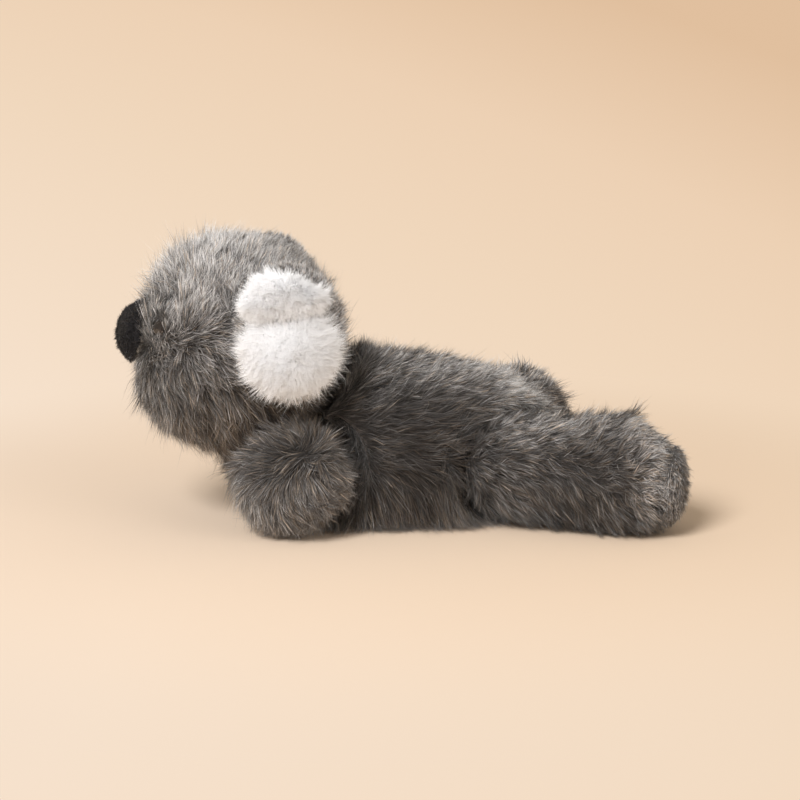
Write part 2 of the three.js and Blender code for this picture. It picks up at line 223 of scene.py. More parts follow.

# %% [markdown]
# ## Floor
# A plain warm paper sweep. One large sheet is enough, because the camera looks down past its far
# edge. Its colour is made darker to the right and with distance, as painted falloff of the light.
# Round the toy the sheet is lit and takes the shadow; further out it glows in that painted colour
# in place of the lamps' light, as a lit backdrop looks.

# %% Floor sheet and its paper
bpy.ops.object.select_all(action="DESELECT")
bpy.ops.mesh.primitive_plane_add(size=60, location=(0, 0, 0))
floor = bpy.context.object
floor.name = "paper_floor"
paper, tree = new_material("warm_paper")
where = object_place(tree)
split = put(tree, "ShaderNodeSeparateXYZ", {0: where})
right, depth = split.outputs["X"], split.outputs["Y"]
# painted falloff of the light: the paper colour darkens with distance and to the right
back = calculate(tree, "MAXIMUM", depth, calculate(tree, "MULTIPLY", depth, -0.6))
painted_falloff_near, right_limit = 0.1, 0.36
far_off = calculate(tree, "DIVIDE", back, calculate(tree, "ADD", back, 2))
far_off = calculate(tree, "MULTIPLY", far_off, 0.5)
to_right = calculate(tree, "DIVIDE", right, calculate(tree, "ADD", back, 1.2))
to_right = calculate(tree, "MINIMUM", calculate(tree, "MULTIPLY", to_right, 1.2), right_limit)
painted_falloff = calculate(tree, "ADD", calculate(tree, "ADD", far_off, to_right), painted_falloff_near)
paper_with_painted_falloff = ramp(tree, painted_falloff, [
    (0, (0.922, 0.755, 0.604)),
    (0.35, (0.872, 0.684, 0.51)),
    (0.56, (0.845, 0.637, 0.458)),
    (0.8, (0.75, 0.525, 0.345)),
])
grain = put(tree, "ShaderNodeTexNoise", {"Scale": 900, "Vector": where})
bump = put(tree, "ShaderNodeBump", {"Strength": 0.03, "Height": grain.outputs["Fac"]})
lit = put(tree, "ShaderNodeBsdfPrincipled", {
    "Base Color": paper_with_painted_falloff, "Normal": bump.outputs[0],
    "Roughness": 0.9, "Specular IOR Level": 0.1,
})
# painted light: far from the toy the paper glows in that colour instead of being lit
glowing_paper = put(tree, "ShaderNodeEmission", {"Color": paper_with_painted_falloff})
away = put(tree, "ShaderNodeVectorMath", {0: where}, operation="LENGTH").outputs["Value"]
seen = put(tree, "ShaderNodeLightPath").outputs["Is Camera Ray"]
lit_until, unlit_from = 160 * mm, 400 * mm
mixed = put(tree, "ShaderNodeMixShader", {
    0: calculate(tree, "MULTIPLY", span(tree, away, lit_until, unlit_from), seen),
    1: lit.outputs[0],
    2: glowing_paper.outputs[0],
})
put(tree, "ShaderNodeOutputMaterial", {"Surface": mixed.outputs[0]})
floor.data.materials.append(paper)
print("floor sheet:", floor.name)

# %% [markdown]
# ## Colour of the pile
# Pile fabric like this is knitted from a blend of dark, mid and silver fibres. Seen close, a fibre
# is dark where it leaves the backing and pale at its tip. Every ribbon of fur carries a small UV
# place: across is how silver its fibre is, and up is how far along the fibre a point lies. The
# right half of the chart holds the same silver range again for tan fibres. One node group turns
# that place into a colour and is used for the grey, the white and the black pile, so the whole toy
# keeps one logic. Each material also says how dim and how bright a fibre's speckle gets, because a
# white that is speckled above its own tone would clip.

# %% Node group that colours a fibre


def fibre_group():
    group = bpy.data.node_groups.new("fibre_colour", "ShaderNodeTree")
    face = group.interface
    face.new_socket("Place", in_out="INPUT", socket_type="NodeSocketVector")
    for name in ("Dark", "Middle", "Silver", "Root", "Warmth"):
        face.new_socket(name, in_out="INPUT", socket_type="NodeSocketColor")
    for name in ("Dimmest", "Brightest"):
        face.new_socket(name, in_out="INPUT", socket_type="NodeSocketFloat")
    face.new_socket("Color", in_out="OUTPUT", socket_type="NodeSocketColor")
    face.new_socket("Roughness", in_out="OUTPUT", socket_type="NodeSocketFloat")
    given = put(group, "NodeGroupInput").outputs

    def blend_of(factor, first, second, mode="MIX"):
        sockets = {0: factor, 6: first, 7: second}
        return put(group, "ShaderNodeMix", sockets, data_type="RGBA", blend_type=mode).outputs[2]

    split = put(group, "ShaderNodeSeparateXYZ", {0: given["Place"]})
    across, along = split.outputs["X"], split.outputs["Y"]
    tone = calculate(group, "FRACT", calculate(group, "MULTIPLY", across, 2))
    tan = calculate(group, "GREATER_THAN", across, 0.5)
    tip = calculate(group, "MULTIPLY", tone, span(group, along, 0.3, 1, 0.55, 1.1))
    lower = blend_of(span(group, tip, 0, 0.5), given["Dark"], given["Middle"])
    body = blend_of(span(group, tip, 0.5, 1), lower, given["Silver"])
    tinted = blend_of(tan, body, given["Warmth"], "MULTIPLY")
    speckle = put(group, "ShaderNodeTexNoise", {"Scale": 60, "Detail": 2, "Vector": given["Place"]})
    patchy = put(group, "ShaderNodeMapRange", {
        "Value": speckle.outputs["Fac"], "From Min": 0.3, "From Max": 0.7,
        "To Min": given["Dimmest"], "To Max": given["Brightest"],
    })
    varied = put(group, "ShaderNodeVectorMath", {
        0: tinted, "Scale": patchy.outputs["Result"],
    }, operation="SCALE")
    final = blend_of(span(group, along, 0.1, 0.75), given["Root"], varied.outputs[0])
    rough = span(group, along, 0, 1, 0.85, 0.6)
    put(group, "NodeGroupOutput", {"Color": final, "Roughness": rough})
    return group


fibre = fibre_group()
print("node group:", fibre.name)

# %% Fibre materials


def fibre_material(name, dark, middle, silver, root, warmth=(1, 1, 1), sheen=0.3,
                   speckle=(0.82, 1.12), glint=0.35):
    material, tree = new_material(name)
    colours = {"Dark": dark, "Middle": middle, "Silver": silver, "Root": root, "Warmth": warmth}
    mixer = put(tree, "ShaderNodeGroup", {
        "Place": put(tree, "ShaderNodeUVMap", uv_map="OFBake").outputs[0],
        "Dimmest": speckle[0], "Brightest": speckle[1],
        **{socket: (*colour, 1) for socket, colour in colours.items()},
    }, node_tree=fibre)
    surface(tree, {
        "Base Color": mixer.outputs["Color"], "Roughness": mixer.outputs["Roughness"],
        "Specular IOR Level": glint, "Sheen Weight": sheen, "Sheen Roughness": 0.4,
    })
    return material


grey_fibre = fibre_material(
    "grey_pile_fibre",
    dark=(0.0452, 0.0425, 0.043), middle=(0.226, 0.217, 0.214), silver=(0.88, 0.87, 0.87),
    root=(0.022, 0.02, 0.019), warmth=(1.06, 0.88, 0.7),
)
white_fibre = fibre_material(
    "white_pile_fibre",
    dark=(0.9, 0.91, 0.93), middle=(0.925, 0.935, 0.955), silver=(0.94, 0.95, 0.97),
    root=(0.9, 0.91, 0.93), sheen=0.05, speckle=(0.97, 1), glint=0.05,
)
black_fibre = fibre_material(
    "nose_velour_fibre",
    dark=(0.008, 0.007, 0.009), middle=(0.02, 0.018, 0.021), silver=(0.055, 0.05, 0.056),
    root=(0.004, 0.004, 0.005),
)
print("fibre materials:", grey_fibre.name, white_fibre.name, black_fibre.name)

# %% [markdown]
# ## Cloth under the pile
# The backing of pile fabric is a knitted cloth, seen only where the pile parts. It gets a darker
# tone than the pile, a fine knit from a wave pattern and some cloudy variation.

# %% Backing cloths


def cloth_material(name, low, high):
    knit_scale = 420
    material, tree = new_material(name)
    where = object_place(tree)
    cloud = put(tree, "ShaderNodeTexNoise", {"Scale": knit_scale / 6, "Detail": 4, "Vector": where})
    knit = put(tree, "ShaderNodeTexWave", {"Scale": knit_scale, "Distortion": 2, "Vector": where})
    raised = put(tree, "ShaderNodeBump", {
        "Strength": 0.4, "Distance": 0.3 * mm, "Height": knit.outputs["Fac"],
    })
    surface(tree, {
        "Base Color": ramp(tree, cloud.outputs["Fac"], [(0.3, low), (0.7, high)]),
        "Normal": raised.outputs[0], "Roughness": 0.95, "Sheen Weight": 0.2,
    })
    return material


grey_backing = cloth_material("grey_backing_cloth", (0.035, 0.03, 0.027), (0.075, 0.065, 0.06))
white_backing = cloth_material("white_backing_cloth", (0.87, 0.87, 0.87), (0.92, 0.92, 0.93))
black_backing = cloth_material("nose_backing_cloth", (0.006, 0.006, 0.007), (0.014, 0.013, 0.015))
print("backing cloths made")

# %% [markdown]
# ## From solid to stuffed skin
# A stuffed skin is a closed, even, slightly lumpy form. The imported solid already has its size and
# place, so a copy of the skin and of its stuffing is merged into one closed form, remeshed with
# even faces, and sunk to the depth of the backing, so that the pile brings it back to size. Near
# the eyes it sinks less, because there the pile is short and the beads sit on the cloth. A short
# cloth simulation with air pressure then fills it like a pillow, and one subdivision smooths it.
# The cap keeps it in its place. The finished cloth stands for the skin and its stuffing together.

# %% Helpers that read and write mesh points


def read_rows(mesh, kind):
    flat = np.empty(len(mesh.vertices) * 3, np.float32)
    mesh.vertices.foreach_get(kind, flat)
    return flat.reshape(-1, 3).astype(float)


def points_of(mesh):
    return read_rows(mesh, "co")


def normals_of(mesh):
    return read_rows(mesh, "normal")


def set_points(mesh, points):
    mesh.vertices.foreach_set("co", np.asarray(points, np.float32).ravel())
    mesh.update()


def unit(vectors):
    return vectors / np.maximum(np.linalg.norm(vectors, axis=-1, keepdims=True), 1e-9)


def only(piece):
    bpy.ops.object.select_all(action="DESELECT")
    piece.select_set(True)
    bpy.context.view_layer.objects.active = piece


# %% Copy, merge and remesh solids
touching = 0.01 * mm


def merged_copy(name, nodes, voxel):
    copies = []
    for node in nodes:
        copy = frame["nodes"][node].copy()
        copy.data = copy.data.copy()
        copy.parent = None
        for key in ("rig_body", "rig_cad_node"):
            if key in copy:
                del copy[key]
        copy.data.materials.clear()
        scene.collection.objects.link(copy)
        copies.append(copy)
    only(copies[0])
    for copy in copies:
        copy.select_set(True)
    if len(copies) > 1:
        bpy.ops.object.join()
    piece = bpy.context.object
    piece.name = name
    piece.data.name = name
    bpy.ops.object.mode_set(mode="EDIT")
    bpy.ops.mesh.select_all(action="SELECT")
    bpy.ops.mesh.remove_doubles(threshold=touching)
    bpy.ops.object.mode_set(mode="OBJECT")
    piece.data.remesh_voxel_size = voxel
    bpy.ops.object.voxel_remesh()
    return piece


# %% Drop the inner walls that the remesh leaves


def keep_largest_shell(piece):
    mesh = piece.data
    edges = np.empty(len(mesh.edges) * 2, np.int32)
    mesh.edges.foreach_get("vertices", edges)
    edges = edges.reshape(-1, 2)
    label = np.arange(len(mesh.vertices))
    while True:
        lowest = np.minimum(label[edges[:, 0]], label[edges[:, 1]])
        fresh = label.copy()
        np.minimum.at(fresh, edges[:, 0], lowest)
        np.minimum.at(fresh, edges[:, 1], lowest)
        fresh = fresh[fresh]
        if np.array_equal(fresh, label):
            break
        label = fresh
    names, sizes = np.unique(label, return_counts=True)
    spare = label != names[np.argmax(sizes)]
    if spare.any():
        mesh.vertices.foreach_set("select", spare)
        only(piece)
        bpy.ops.object.mode_set(mode="EDIT")
        bpy.ops.mesh.select_mode(type="VERT")
        bpy.ops.mesh.delete(type="VERT")
        bpy.ops.object.mode_set(mode="OBJECT")


# %% Sink a skin to the depth of its backing
eye_ring = 5  # millimetres round an eye where the cloth hardly sinks
eye_fade = 10  # and millimetres from there to the full depth
sunk_at_eyes = 0.2  # of the full depth
sunk_where_thin = 0.42  # of the thickness, so that two sides never meet


def tree_of(piece):
    mesh = piece.data
    return BVHTree.FromPolygons(
        [tuple(point) for point in points_of(mesh)],
        [tuple(face.vertices) for face in mesh.polygons],
    )


def sink(piece, depth):
    points = points_of(piece.data)
    normals = normals_of(piece.data)
    tree = tree_of(piece)
    eyes = np.array([middle_of("eye_" + side) for side in sides])
    near = np.linalg.norm(points[:, None] - eyes[None], axis=2).min(axis=1)
    depths = depth * np.clip((near / mm - eye_ring) / eye_fade, sunk_at_eyes, 1)
    for index, (point, normal) in enumerate(zip(points, normals)):
        below = tuple(point - normal * 0.05 * mm)
        thick = tree.ray_cast(below, tuple(-normal), 3 * depth)[3]
        if thick is not None:
            depths[index] = min(depths[index], sunk_where_thin * thick)
    set_points(piece.data, points - normals * depths[:, None])


# %% Stuff and smooth a skin
cloth_clear = 1.2 * mm
stuffing_frames = 20


def apply_modifier(piece, kind, **values):
    only(piece)
    modifier = piece.modifiers.new(kind.title(), kind)
    for key, value in values.items():
        setattr(modifier, key, value)
    bpy.ops.object.modifier_apply(modifier=modifier.name)


def stuff(piece, cap):
    start = points_of(piece.data)
    air = piece.modifiers.new("Cloth", "CLOTH")
    air.settings.use_pressure = True
    air.settings.uniform_pressure_force = 4
    air.settings.quality = 4
    air.settings.effector_weights.gravity = 0
    air.point_cache.frame_start = 1
    air.point_cache.frame_end = stuffing_frames
    for step in range(1, stuffing_frames + 1):
        scene.frame_set(step)
    filled = piece.evaluated_get(bpy.context.evaluated_depsgraph_get())
    moved = points_of(filled.data) - start
    piece.modifiers.remove(air)
    scene.frame_set(1)
    far = np.linalg.norm(moved, axis=1, keepdims=True)
    moved *= np.minimum(1, cap / np.maximum(far, 1e-9))
    set_points(piece.data, start + moved)


def stuffed_skin(name, nodes, body, cloth, voxel, sunk, cap, soften):
    material, slot = cloth
    piece = merged_copy(name, nodes, voxel)
    keep_largest_shell(piece)
    apply_modifier(piece, "SMOOTH", factor=0.5, iterations=soften)
    sink(piece, sunk)
    apply_modifier(piece, "SMOOTH", factor=0.3, iterations=1)
    stuff(piece, cap)
    apply_modifier(piece, "SUBSURF", levels=1, render_levels=1)
    points = points_of(piece.data)
    points[:, 2] = np.maximum(points[:, 2], cloth_clear)
    set_points(piece.data, points)
    bpy.ops.object.shade_smooth()
    piece.data.materials.append(material)
    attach(piece, body)
    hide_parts(*nodes)
    return piece


def squeeze(piece, middle, shares):
    set_points(piece.data, middle + (points_of(piece.data) - middle) * np.array(shares))


# %% [markdown]
# ## The skins
# One skin for each sewn part: head, body, two arms, two legs with their soles, the two-layered
# ears with the fold above the lobe, and the nose pad. They are the forms that the pile grows on,
# so the soles and the ear pieces are squeezed by about the depth of their own fur. The nose pad,
# whose velour is short, is drawn out a little, as the photograph shows it.

# %% Make every skin
grey_cloth = (grey_backing, "grey_fur")
white_cloth = (white_backing, "white_fur")
nose_cloth = (black_backing, "nose_velour")
skins = {
    "head": stuffed_skin(
        "head_cloth", ["head_skin", "head_stuffing"], "head", grey_cloth,
        voxel=4.5 * mm, sunk=7.4 * mm, cap=2 * mm, soften=4,
    ),
    "body": stuffed_skin(
        "body_cloth", ["body_skin", "body_stuffing"], "torso", grey_cloth,
        voxel=4.5 * mm, sunk=7.4 * mm, cap=2 * mm, soften=4,
    ),
}
for side in sides:
    for limb in ("arm_", "leg_"):
        skins[limb + side] = stuffed_skin(
            limb + "cloth_" + side, [limb + "skin_" + side, limb + "stuffing_" + side],
            limb + side, grey_cloth, voxel=3.5 * mm, sunk=6.8 * mm, cap=1.5 * mm, soften=4,
        )
    skins["sole_" + side] = stuffed_skin(
        "sole_cloth_" + side, ["sole_" + side], "leg_" + side, grey_cloth,
        voxel=2 * mm, sunk=1.5 * mm, cap=1 * mm, soften=2,
    )
    squeeze(skins["sole_" + side], middle_of("sole_" + side, (-8, 0, 2)), (0.8, 0.88, 0.86))
    skins["ear_" + side] = stuffed_skin(
        "ear_back_cloth_" + side, ["ear_back_" + side], "ear_" + side, grey_cloth,
        voxel=2 * mm, sunk=1 * mm, cap=1 * mm, soften=3,
    )
    squeeze(skins["ear_" + side], middle_of("ear_back_" + side, (-4, 0, -4)), (0.95, 1, 0.95))
    skins["lobe_" + side] = stuffed_skin(
        "ear_lobe_cloth_" + side, ["ear_lobe_" + side], "ear_" + side, white_cloth,
        voxel=2 * mm, sunk=1.5 * mm, cap=1 * mm, soften=6,
    )
    squeeze(skins["lobe_" + side], middle_of("ear_lobe_" + side, (-1, 0, 16)), (0.8, 0.8, 0.84))
    skins["fold_" + side] = stuffed_skin(
        "ear_fold_cloth_" + side, ["ear_fold_" + side], "ear_" + side, white_cloth,
        voxel=1.6 * mm, sunk=1.2 * mm, cap=0.8 * mm, soften=2,
    )
    squeeze(skins["fold_" + side], middle_of("ear_fold_" + side, (-3, 0, -3)), (0.9, 1, 0.86))
skins["nose"] = stuffed_skin(
    "nose_pad_cloth", ["nose_cover", "nose_stuffing"], "head", nose_cloth,
    voxel=1.6 * mm, sunk=0.8 * mm, cap=0.6 * mm, soften=2,
)
squeeze(skins["nose"], middle_of("nose_cover", (-6, 0, 0)), (1.35, 1, 1.02))
for name, skin in skins.items():
    print(name, "skin faces:", len(skin.data.polygons))

# %% [markdown]
# ## Where the pile may stand
# Cloth inside a neighbouring part carries no visible pile. Each skin gets a density for every
# point: none where the place a little above it, at `reach`, already lies inside a neighbour. A
# place is inside a closed form when a ray from it crosses the form's walls an odd number of times.

# %% Density of a skin beside its neighbours
skin_trees = {name: tree_of(skin) for name, skin in skins.items()}


def is_inside(tree, point):
    slant = Vector((0.31, 0.23, 0.92))
    most_walls = 12
    hits = 0
    start = Vector(point)
    while hits < most_walls:
        place = tree.ray_cast(start, slant)[0]
        if place is None:
            break
        hits += 1
        start = place + slant * touching
    return hits % 2 == 1


def open_share(skin, neighbours, reach):
    tips = points_of(skin.data) + normals_of(skin.data) * reach
    share = np.ones(len(tips))
    for name in neighbours:
        wall = points_of(skins[name].data)
        near = ((tips > wall.min(axis=0)) & (tips < wall.max(axis=0))).all(axis=1) & (share > 0)
        for index in np.flatnonzero(near):
            if is_inside(skin_trees[name], tips[index]):
                share[index] = 0
    return share


# %% [markdown]
# ## Planting the pile
# Blender's hair curves aren't kept by the export, so each fibre is a thin ribbon. A fibre of the
# long top coat is a kite of two triangles: a point on the skin, its widest place half-way, and a
# point at the tip. One of the short underfur is a single triangle. A fibre starts on the skin at
# the lift angle, leans over along the lie of the pile and narrows to its tip. Neighbouring fibres
# lean together into tufts, as real pile does, a few stray, and the whole field swirls a little.

# %% Scatter roots evenly over a skin


def scatter(skin, share, count, rng):
    mesh = skin.data
    mesh.calc_loop_triangles()
    corners = np.empty(len(mesh.loop_triangles) * 3, np.int32)
    mesh.loop_triangles.foreach_get("vertices", corners)
    corners = corners.reshape(-1, 3)
    points = points_of(mesh)
    normals = normals_of(mesh)
    a, b, c = (points[corners[:, k]] for k in range(3))
    area = np.linalg.norm(np.cross(b - a, c - a), axis=1) / 2
    weight = area * share[corners].mean(axis=1)
    pick = rng.choice(len(corners), count, p=weight / weight.sum())
    u, v = rng.random((2, count))
    over = u + v > 1
    u[over], v[over] = 1 - u[over], 1 - v[over]
    shares = np.stack([1 - u - v, u, v], axis=1)[..., None]
    roots = (points[corners[pick]] * shares).sum(axis=1)
    ups = unit((normals[corners[pick]] * shares).sum(axis=1))
    return roots, ups


# %% A soft swirl that bends the lie of the pile


def swirl(points, size, seed):
    waves, strongest = 4, 3
    rng = np.random.default_rng(seed)
    field = np.zeros_like(points)
    for octave in (1, 2):
        for _ in range(waves):
            wave = rng.normal(size=3) * octave / size
            turn = rng.random(3) * 2 * math.pi
            field += np.sin((points @ wave)[:, None] + turn) / octave
    return field / strongest


# %% Gather fibres into tufts


def tufts(roots, size, rng):
    fewest = 8
    count = max(fewest, int(len(roots) / size))
    heads = rng.choice(len(roots), count, replace=False)
    near = KDTree(count)
    for index, head in enumerate(heads):
        near.insert(roots[head], index)
    near.balance()
    return heads, np.array([near.find(root)[1] for root in roots])


# %% Turn rows of fibre points into one mesh of ribbons
underfur_steps = (0, 1)
topfur_steps = (0, 0.5, 1)
chart_start = 0.01  # margin at the left and at the foot of the chart
chart_height = 0.98  # from a fibre's root to its tip
chart_strip = 0.003  # from the middle of a ribbon to its edge


def ribbons(name, rows, edge, half, tones, shine, body, pile):
    if len(rows) == len(underfur_steps):
        root, tip = rows
        columns = [root - edge * half, root + edge * half, tip]
        along, across = np.array([0, 0, 1]), np.array([-1, 1, 0])
        pattern = np.array([0, 1, 2])
    else:
        root, middle, tip = rows
        columns = [root, middle - edge * half, middle + edge * half, tip]
        along, across = np.array([0, 0.5, 0.5, 1]), np.array([0, -1, 1, 0])
        pattern = np.array([0, 2, 1, 1, 2, 3])
    corners = np.stack(columns, axis=1)
    count, stride = corners.shape[:2]
    loops = (np.arange(count)[:, None] * stride + pattern).ravel()
    mesh = bpy.data.meshes.new(name)
    mesh.vertices.add(count * stride)
    mesh.vertices.foreach_set("co", corners.astype(np.float32).ravel())
    mesh.loops.add(len(loops))
    mesh.loops.foreach_set("vertex_index", loops.astype(np.int32))
    mesh.polygons.add(len(loops) // 3)
    mesh.polygons.foreach_set("loop_start", np.arange(0, len(loops), 3, dtype=np.int32))
    mesh.update(calc_edges=True)
    chart = mesh.uv_layers.new(name="OFBake")
    places = np.empty((count, len(pattern), 2), np.float32)
    places[:, :, 0] = tones[:, None] + chart_strip * across[pattern]
    places[:, :, 1] = chart_start + chart_height * along[pattern]
    chart.data.foreach_set("uv", places.ravel())
    mesh.polygons.foreach_set("use_smooth", np.ones(len(mesh.polygons), bool))
    mesh.normals_split_custom_set_from_vertices(np.repeat(shine, stride, axis=0).tolist())
    piece = bpy.data.objects.new(name, mesh)
    scene.collection.objects.link(piece)
    material, slot = pile
    mesh.materials.append(material)
    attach(piece, body)
    print(name, "fibres:", count, "triangles:", len(mesh.polygons))


# %% [markdown]
# ## What makes one coat
# One function grows every coat, and its values are what a furrier would name. `lift` is the angle
# off the skin, in degrees, at the root and at the tip. `tuft` is how many fibres gather, and
# `gather` how far. `wander`, `fray` and `curl` are how much tufts and single fibres leave the lie,
# and `sway` is the strength of the swirl. `hang` bends fibres down and out near the table, `press`
# lays the coat flat where it looks up, and `top` makes it more silver there, as painted light from
# above. `clump` and `uneven` vary the silver from patch to patch and from fibre to fibre. `strays`
# is the share of long single hairs, and `bald` and `neighbours` say where nothing grows. `soft` is
# how far a ribbon is shaded as part of the round skin rather than as a flat strip, and `outward`
# turns the ribbons of an ear to face away from the head.

# %% What every coat has alike
root_depth = 0.3 * mm  # under the cloth
fibre_clear = 0.4 * mm  # over the table
table_fuzz = 0.8 * mm  # unevenness of that
crown = 153 * mm  # fur above this height is pressed down
crown_press = 0.5
tuft_length, shortest, longest = 0.1, 0.7, 1.15
thinnest, thickest = 0.6, 1.3
tuft_angle, fibre_angle, lowest_angle, highest_angle = 7, 7, 3, 88  # degrees
stray_length, stray_angle, stray_gather, stray_width = 1.3, 13, 0.3, 0.5
outward_share = 1.6
clump_size, tuft_shade = 11 * mm, 0.09
chart_range = 0.48  # width of one silver range on the chart
chart_tan = 0.5  # where the range of the tan fibres starts

# %% The way, the points and the flat of the fibres


def along_skin(way, ups):
    return unit(way - (way * ups).sum(1, keepdims=True) * ups)


def fibre_rows(roots, ups, way, bend, drop, tall, tilt, lift, steps):
    rows = [roots - ups * root_depth]
    for low, high in zip(steps, steps[1:]):
        angle = lift[0] + (lift[1] - lift[0]) * high + tilt
        lean = np.radians(np.clip(angle, lowest_angle, highest_angle))[:, None]
        run = unit(np.cos(lean) * (way + bend * high) + np.sin(lean) * ups + drop * high)
        rows.append(rows[-1] + run * (tall * (high - low))[:, None])
    return rows


def gather_rows(rows, steps, heads, owner, gather, stray):
    for index, place in enumerate(steps):
        pull = gather * place ** 1.5 * np.where(stray, stray_gather, 1)[:, None]
        lead = rows[index][heads]
        rows[index] = rows[index] * (1 - pull) + lead[owner] * pull


def keep_between_table_and_crown(rows, rng):
    for row in rows:
        row[:, 2] = np.maximum(row[:, 2], fibre_clear + table_fuzz * rng.random(len(row)))
        row[:, 2] -= crown_press * np.maximum(row[:, 2] - crown, 0)


def ribbon_flats(rows, ups, turn, soft, outward):
    run = unit(rows[-1] - rows[0])
    if outward is not None:
        ups = unit(ups + outward_share * np.array(outward))
    across = unit(np.cross(run, ups))
    facing = np.cross(across, run)
    edge = np.cos(turn) * across + np.sin(turn) * facing
    shine = unit(soft * ups + (1 - soft) * (np.cos(turn) * facing - np.sin(turn) * across))
    return edge, shine


# %% Grow one coat of pile on a skin


def grow(name, skin_name, body, pile, count, length, lie, tone, warm=None, lift=(60, 20),
         width=0.26 * mm, tuft=10, gather=0.22, wander=0.17, sway=0.5, sway_size=26 * mm, seed=1,
         neighbours=(), steps=topfur_steps, soft=0.6, reach=2.5 * mm, uneven=0.27, top=0.0,
         bald=None, swirls=None, curl=0.3, press=0.0, strays=0.05, twist=40, hang=None,
         clump=0.12, fray=0.16, outward=None):
    rng = np.random.default_rng(seed)
    skin = skins[skin_name]
    share = open_share(skin, neighbours, reach)
    if bald is not None:
        share = share * bald(points_of(skin.data), normals_of(skin.data))
    roots, ups = scatter(skin, share, count, rng)
    looks_up = np.clip(ups[:, 2], 0, 1)

    # the way that each fibre lies
    way = along_skin(lie(roots), ups) + sway * swirl(roots, sway_size, swirls or seed)
    heads, owner = tufts(roots, tuft, rng)
    way = way + (rng.normal(size=(len(heads), 3)) * wander)[owner]
    way = along_skin(way + rng.normal(size=way.shape) * fray, ups)
    bend = (rng.normal(size=(len(heads), 3)) * curl)[owner]
    bend = bend + rng.normal(size=way.shape) * curl * 0.5
    drop = hang(roots) if hang is not None else 0

    # its length and its angle
    tall = length(roots) * rng.normal(1, tuft_length, len(heads))[owner]
    tall = tall * rng.uniform(shortest, longest, count)
    tilt = rng.normal(0, tuft_angle, len(heads))[owner]
    tilt = tilt + rng.normal(0, fibre_angle, count) - press * looks_up
    stray = rng.random(count) < strays
    tall[stray] *= stray_length
    tilt[stray] += stray_angle

    # its points, and the flat of its ribbon
    rows = fibre_rows(roots, ups, way, bend, drop, tall, tilt, lift, steps)
    gather_rows(rows, steps, heads, owner, gather, stray)
    keep_between_table_and_crown(rows, rng)
    turn = np.radians(rng.normal(0, twist, count))[:, None]
    edge, shine = ribbon_flats(rows, ups, turn, soft, outward)
    half = width / 2 * rng.uniform(thinnest, thickest, count) * np.where(stray, stray_width, 1)

    # its colour, as a place on the fibre chart
    # painted light from above: fibres are made more silver where the skin faces up (`top`)
    silver = tone(roots) + top * looks_up ** 1.5
    silver = silver + clump * swirl(roots, clump_size, seed + 100)[:, 0]
    silver = silver + rng.normal(0, tuft_shade, len(heads))[owner] + rng.normal(0, uneven, count)
    tones = chart_start + chart_range * np.clip(silver, 0, 1)
    if warm is not None:
        tones = tones + chart_tan * (rng.random(count) < warm(roots))
    ribbons(name, rows, edge, half[:, None], tones, shine, body, pile)


# %% [markdown]
# ## The lie of the pile
# Pile has a direction, and on a sewn animal each panel is cut so that it runs away from the nose.
# On the head it parts at eye height: above, it is brushed up and back, below, down and back. Along
# the body it runs to the rump, and low on the flanks it turns down and out, so that it hangs as a
# fringe on the table. On a leg it runs to the foot, and on the arm it opens like a star from the
# top of the paw.

# %% Directions on the head, the body and the arms


def smooth(value, low, high):
    share = np.clip((value - low) / (high - low), 0, 1)
    return share * share * (3 - 2 * share)


def head_lie(points):
    flow = unit(points - nose_middle)
    flow[:, 2] += np.tanh((points[:, 2] - head_middle[2] + 10 * mm) / (26 * mm))
    flow[:, 0] += 0.3
    return flow


def nose_lie(points):
    return (points - nose_middle) * np.array([0, 1, 1]) + np.array([0, 0, -2]) * mm


def body_lie(points):
    flow = np.zeros_like(points)
    low = smooth(points[:, 2], 42 * mm, 16 * mm)
    flow[:, 0] = 1 - 0.55 * low
    flow[:, 2] = 0.12 - 1.6 * low
    flow[:, 1] = low * np.sign(points[:, 1] - middle_y)
    return flow


def body_hang(points):
    low = smooth(points[:, 2], 40 * mm, 16 * mm)[:, None]
    out = np.sign(points[:, 1] - middle_y)[:, None] * np.array([[0, 1.7, 0]])
    return low * (out + np.array([[0, 0, -1.4]]))


def arm_lie(side):
    whorl = middle_of("arm_skin_" + side, (0, 26 * sides[side], 10))
    return lambda points: points - whorl + np.array([0, 0, -9]) * mm


# %% Directions on the legs


def leg_line(side):
    hip = joints[f"hip_{side}_swing"]
    sole = middle_of("sole_" + side)
    way = unit(sole - hip)
    return hip, way, lambda points: (points - hip) @ way / np.linalg.norm(sole - hip)


def leg_lie(side):
    hip, way, place_on = leg_line(side)

    def lie(points):
        share = np.clip(place_on(points), 0, 1)[:, None]
        high = np.tanh((points[:, 2] - hip[2]) / (12 * mm))[:, None]
        return way + np.array([0, 0, 1]) * high * (0.8 - 0.65 * share)

    return lie


def leg_hang(side):
    droop = np.array([0, 1.3 * sides[side], -0.8])
    return lambda points: smooth(points[:, 2], 24 * mm, 8 * mm)[:, None] * droop


def sole_lie(side):
    middle = middle_of("sole_" + side)
    return lambda points: points - middle + np.array([0, 0, -26]) * mm


# %% Directions on the ears


def ear_lie(side):
    root = middle_of("ear_back_" + side, (-6, 0, -16))
    return lambda points: (points - root) * np.array([1, 0.2, 1])


def lobe_out(side):
    middle = middle_of("ear_lobe_" + side)
    return lambda points: (points - middle) * np.array([1, 0.1, 1])


def lobe_lie(side):
    out = lobe_out(side)
    return lambda points: out(points) / (15 * mm) + 0.6 * swirl(points, 7 * mm, 5)


def fold_lie(side):
    top = middle_of("ear_fold_" + side, (0, 0, 10))
    return lambda points: (points - top) * np.array([1, 0.2, 1]) + np.array([0, 0, -4]) * mm


print("lies of the pile are set")
